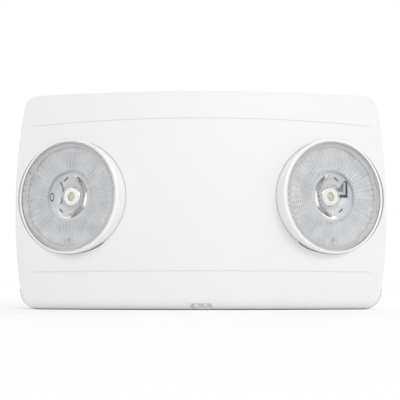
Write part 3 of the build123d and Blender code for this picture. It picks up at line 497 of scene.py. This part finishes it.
def build_lens(side):
    """Clear lens: flat front, flange on the head's rim, pillows at the back and a bowl."""
    shape = bmesh.new()
    bowl_middle = (BOWL_RADIUS + BOWL_TIP_RADIUS) / 2 + BOWL_BULGE
    edges = open_profile(shape, [
        (0.0, LENS_RISE),
        (FLANGE_RADIUS - 2 * FLANGE_CHAMFER, LENS_RISE),
        (FLANGE_RADIUS - FLANGE_CHAMFER, LENS_RISE),
        (FLANGE_RADIUS, LENS_RISE / 2),
        (FLANGE_RADIUS, FLANGE_SEAT),
        (LENS_RADIUS, FLANGE_SEAT),
        (LENS_RADIUS, -LENS_BACK),
        (PATTERN_OUTER, -LENS_BACK),
        (PATTERN_INNER, -LENS_BACK),
        (BOWL_RADIUS, -LENS_BACK),
        (BOWL_RADIUS - BOWL_LIP, -LENS_BACK - BOWL_LIP / 2),
        (bowl_middle, -(LENS_BACK + BOWL_TIP) / 2 - BOWL_BULGE / 2),
        (BOWL_TIP_RADIUS, -BOWL_TIP),
        (POCKET_RADIUS, -BOWL_TIP),
        (POCKET_RADIUS, -POCKET_TOP),
        (0.0, -POCKET_CROWN),
    ])
    pattern_edge = edges[7]
    cuts = PATTERN_RINGS * STEPS_PER_PILLOW - 1
    bmesh.ops.subdivide_edges(shape, edges=[pattern_edge], cuts=cuts)
    spin_round(shape, PATTERN_RIBS * STEPS_PER_PILLOW)
    shape_pattern(shape, side)
    piece = finished_piece(shape, f"pillow_lens_{side}", "clear_lens", side)
    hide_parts(f"lens_{side}")


def add_box(shape, middle, size, turn, edge):
    """A box with softened edges, its middle and size in the lens's own frame."""
    made = bmesh.ops.create_cube(shape, size=1.0)
    verts = made["verts"]
    edges = list({line for vert in verts for line in vert.link_edges})
    bmesh.ops.scale(shape, vec=size, verts=verts)
    made = bmesh.ops.bevel(
        shape,
        geom=edges,
        offset=edge,
        offset_type="OFFSET",
        segments=2,
        profile=0.5,
        affect="EDGES",
        material=-1,
    )
    verts = list({vert for face in made["faces"] for vert in face.verts})
    bmesh.ops.rotate(shape, cent=(0.0, 0.0, 0.0), matrix=Matrix.Rotation(turn, 3, "Z"), verts=verts)
    bmesh.ops.translate(shape, vec=middle, verts=verts)


def build_collar(side):
    """Polished ring round the lamp chip, rounded towards the front."""
    shape = bmesh.new()
    crown = -COLLAR_FRONT - COLLAR_CROWN
    inner_round, inner_drop = COLLAR_INNER_ROUND
    outer_round, outer_drop = COLLAR_OUTER_ROUND
    open_profile(shape, [
        (COLLAR_INNER, -BOARD_DEPTH),
        (COLLAR_INNER, -COLLAR_FRONT - inner_drop),
        (COLLAR_INNER + inner_round, crown),
        ((COLLAR_INNER + COLLAR_OUTER) / 2, -COLLAR_FRONT),
        (COLLAR_OUTER - outer_round, crown),
        (COLLAR_OUTER, -COLLAR_FRONT - outer_drop),
        (COLLAR_OUTER, -BOARD_DEPTH),
        (COLLAR_INNER, -BOARD_DEPTH),
    ])
    spin_round(shape, COLLAR_STEPS)
    finished_piece(shape, f"chip_collar_{side}", "bare_aluminium", side, POLISHED)


def build_slot_shades(side):
    """Four slots round the bowl, where the reflector clips to the board, their shade painted as thin black boxes
    on the reflector's floor.
    """
    shape = bmesh.new()
    deep = FLOOR_DEPTH - SLOT_FRONT
    size = (SLOT_WIDTH, SLOT_LENGTH, deep)
    for across, up, angle in SLOTS:
        middle = (OUTWARD[side] * across, up, -SLOT_FRONT - deep / 2)
        add_box(shape, middle, size, OUTWARD[side] * radians(angle), deep / 4)
    finished_piece(shape, f"reflector_slot_shades_{side}", "black_plastic", side)


def cut_corner(shape):
    """Takes off the connector's upper inner corner, where the bowl's tip hides it."""
    bmesh.ops.bisect_plane(
        shape,
        geom=shape.verts[:] + shape.edges[:] + shape.faces[:],
        plane_co=(*(a + b for a, b in zip(CONNECTOR_MIDDLE, CONNECTOR_CORNER)), 0.0),
        plane_no=(-1.0, 1.0, 0.0),
        clear_outer=True,
    )
    bmesh.ops.holes_fill(shape, edges=[edge for edge in shape.edges if edge.is_boundary])


def build_connector():
    """The lamp board's connector, its plated lid and its socket, seen through the right bowl; the lid and socket
    sit up and to the left, so the black housing shows as painted shade along the right and bottom.
    """
    low = CONNECTOR_FRONT - BOARD_DEPTH
    for name, slot, size, shift, rise in (
        ("board_connector", "black_plastic", CONNECTOR_SIZE, (0.0, 0.0), 0.0),
        ("connector_lid", "zinc_screw", CONNECTOR_LID, CONNECTOR_LID_SHIFT, CONNECTOR_LID_RISE),
        ("connector_socket", "grey_lead", CONNECTOR_SOCKET, CONNECTOR_SOCKET_SHIFT,
         CONNECTOR_SOCKET_RISE),
    ):
        shape = bmesh.new()
        across, up = (place + move for place, move in zip(CONNECTOR_MIDDLE, shift))
        middle = (across, up, (low + rise) / 2 - CONNECTOR_FRONT)
        add_box(shape, middle, (*size, rise - low), 0.0, CONNECTOR_EDGE)
        cut_corner(shape)
        finished_piece(shape, name, slot, "right")


def build_lead_loop():
    """The lead's end, a small loop seen through the left bowl."""
    shape = bmesh.new()
    open_profile(shape, [
        (LEAD_LOOP_INNER, -FLOOR_DEPTH),
        (LEAD_LOOP_INNER, -SLOT_FRONT),
        ((LEAD_LOOP_INNER + LEAD_LOOP_OUTER) / 2, -SLOT_FRONT + LEAD_LOOP_CROWN),
        (LEAD_LOOP_OUTER, -SLOT_FRONT),
        (LEAD_LOOP_OUTER, -FLOOR_DEPTH),
        (LEAD_LOOP_INNER, -FLOOR_DEPTH),
    ])
    spin_round(shape, LEAD_LOOP_STEPS)
    bmesh.ops.scale(shape, vec=(LEAD_LOOP_NARROW, 1.0, 1.0), verts=shape.verts)
    bmesh.ops.translate(shape, vec=(*LEAD_LOOP_MIDDLE, 0.0), verts=shape.verts)
    finished_piece(shape, "board_lead_loop", "dark_sleeve", "left")


def build_edge_shade_arc():
    """Painted shade of a thin curved edge on the left reflector's floor, as a dark arc standing on it."""
    shape = bmesh.new()
    wide, high = EDGE_SHADE_SIZE
    half = EDGE_SHADE_WIDTH / 2 / wide
    open_profile(shape, [
        (1.0 - half, -FLOOR_DEPTH),
        (1.0 - half, -SLOT_FRONT),
        (1.0 + half, -SLOT_FRONT),
        (1.0 + half, -FLOOR_DEPTH),
        (1.0 - half, -FLOOR_DEPTH),
    ])
    bmesh.ops.remove_doubles(shape, verts=shape.verts, dist=MERGE_DISTANCE)
    bmesh.ops.edgenet_fill(shape, edges=shape.edges[:])
    start = Matrix.Rotation(radians(-EDGE_SHADE_HALF_ANGLE), 3, "Z")
    bmesh.ops.rotate(shape, cent=(0.0, 0.0, 0.0), matrix=start, verts=shape.verts)
    bmesh.ops.spin(
        shape,
        geom=shape.faces[:],
        cent=(0.0, 0.0, 0.0),
        axis=(0.0, 0.0, 1.0),
        angle=radians(2 * EDGE_SHADE_HALF_ANGLE),
        steps=EDGE_SHADE_STEPS,
    )
    bmesh.ops.scale(shape, vec=(wide, high, 1.0), verts=shape.verts)
    bmesh.ops.translate(shape, vec=(*EDGE_SHADE_MIDDLE, 0.0), verts=shape.verts)
    finished_piece(shape, "reflector_edge_shade_left", "dark_sleeve", "left")


for side in ("left", "right"):
    build_lens(side)
    build_collar(side)
    build_slot_shades(side)
build_connector()
build_lead_loop()
build_edge_shade_arc()


# Studio


def build_world():
    """White to the camera and to reflections, and as a light brighter from behind."""
    world = bpy.data.worlds.new("studio")
    scene.world = world
    world.use_nodes = True
    tree = world.node_tree
    background = tree.nodes["Background"]
    background.inputs["Color"].default_value = (*PURE_WHITE, 1.0)
    path = new_node(tree, "ShaderNodeLightPath")
    seen = path.outputs["Is Camera Ray"]
    for kind in ("Is Glossy Ray", "Is Transmission Ray"):
        either = new_node(tree, "ShaderNodeMath", operation="MAXIMUM")
        join(tree, seen, either.inputs[0])
        join(tree, path.outputs[kind], either.inputs[1])
        seen = either.outputs["Value"]
    place = new_node(tree, "ShaderNodeTexCoord")
    towards = new_node(tree, "ShaderNodeVectorMath", operation="DOT_PRODUCT")
    join(tree, place.outputs["Generated"], towards.inputs[0])
    towards.inputs[1].default_value = BRIGHT_WAY
    room = new_node(tree, "ShaderNodeMath", operation="MULTIPLY_ADD")
    join(tree, towards.outputs["Value"], room.inputs[0])
    room.inputs[1].default_value = ROOM_LIGHT
    room.inputs[2].default_value = ROOM_LIGHT
    join(tree, spread(tree, seen, room.outputs["Value"], 1.0), background.inputs["Strength"])


def build_floor():
    shape = bmesh.new()
    bmesh.ops.create_grid(shape, x_segments=1, y_segments=1, size=FLOOR_HALF)
    bmesh.ops.translate(shape, verts=shape.verts, vec=(0.0, 0.0, FLOOR_HEIGHT))
    mesh = bpy.data.meshes.new("studio_floor")
    shape.to_mesh(mesh)
    shape.free()
    floor = bpy.data.objects.new("studio_floor", mesh)
    scene.collection.objects.link(floor)
    floor.is_shadow_catcher = True
    mesh.materials.append(moulded("floor_paper", white(0.95), white(0.94), (0.8, 0.9)))


def build_key_light():
    """A large soft lamp, high on the right in front of the object."""
    lamp = bpy.data.lights.new("key", "AREA")
    lamp.shape = "SQUARE"
    lamp.size = KEY_SIZE
    lamp.energy = KEY_LIGHT * (pi * KEY_DISTANCE) ** 2
    turn = radians(KEY_TURN)
    rise = radians(KEY_RISE)
    way = Vector((sin(turn) * cos(rise), -cos(turn) * cos(rise), sin(rise)))
    holder = bpy.data.objects.new("key", lamp)
    scene.collection.objects.link(holder)
    holder.location = TARGET + way * KEY_DISTANCE
    holder.rotation_euler = (TARGET - holder.location).to_track_quat("-Z", "Y").to_euler()


def build_camera():
    camera = bpy.data.cameras.new("photo_camera")
    camera.sensor_width = SENSOR_WIDTH
    camera.lens = CAMERA_LENS
    holder = bpy.data.objects.new("photo_camera", camera)
    scene.collection.objects.link(holder)
    holder.location = CAMERA_PLACE
    holder.rotation_euler = (radians(90.0 + CAMERA_PITCH), 0.0, 0.0)
    scene.camera = holder


build_world()
build_floor()
build_key_light()
build_camera()
scene.view_settings.view_transform = "Standard"
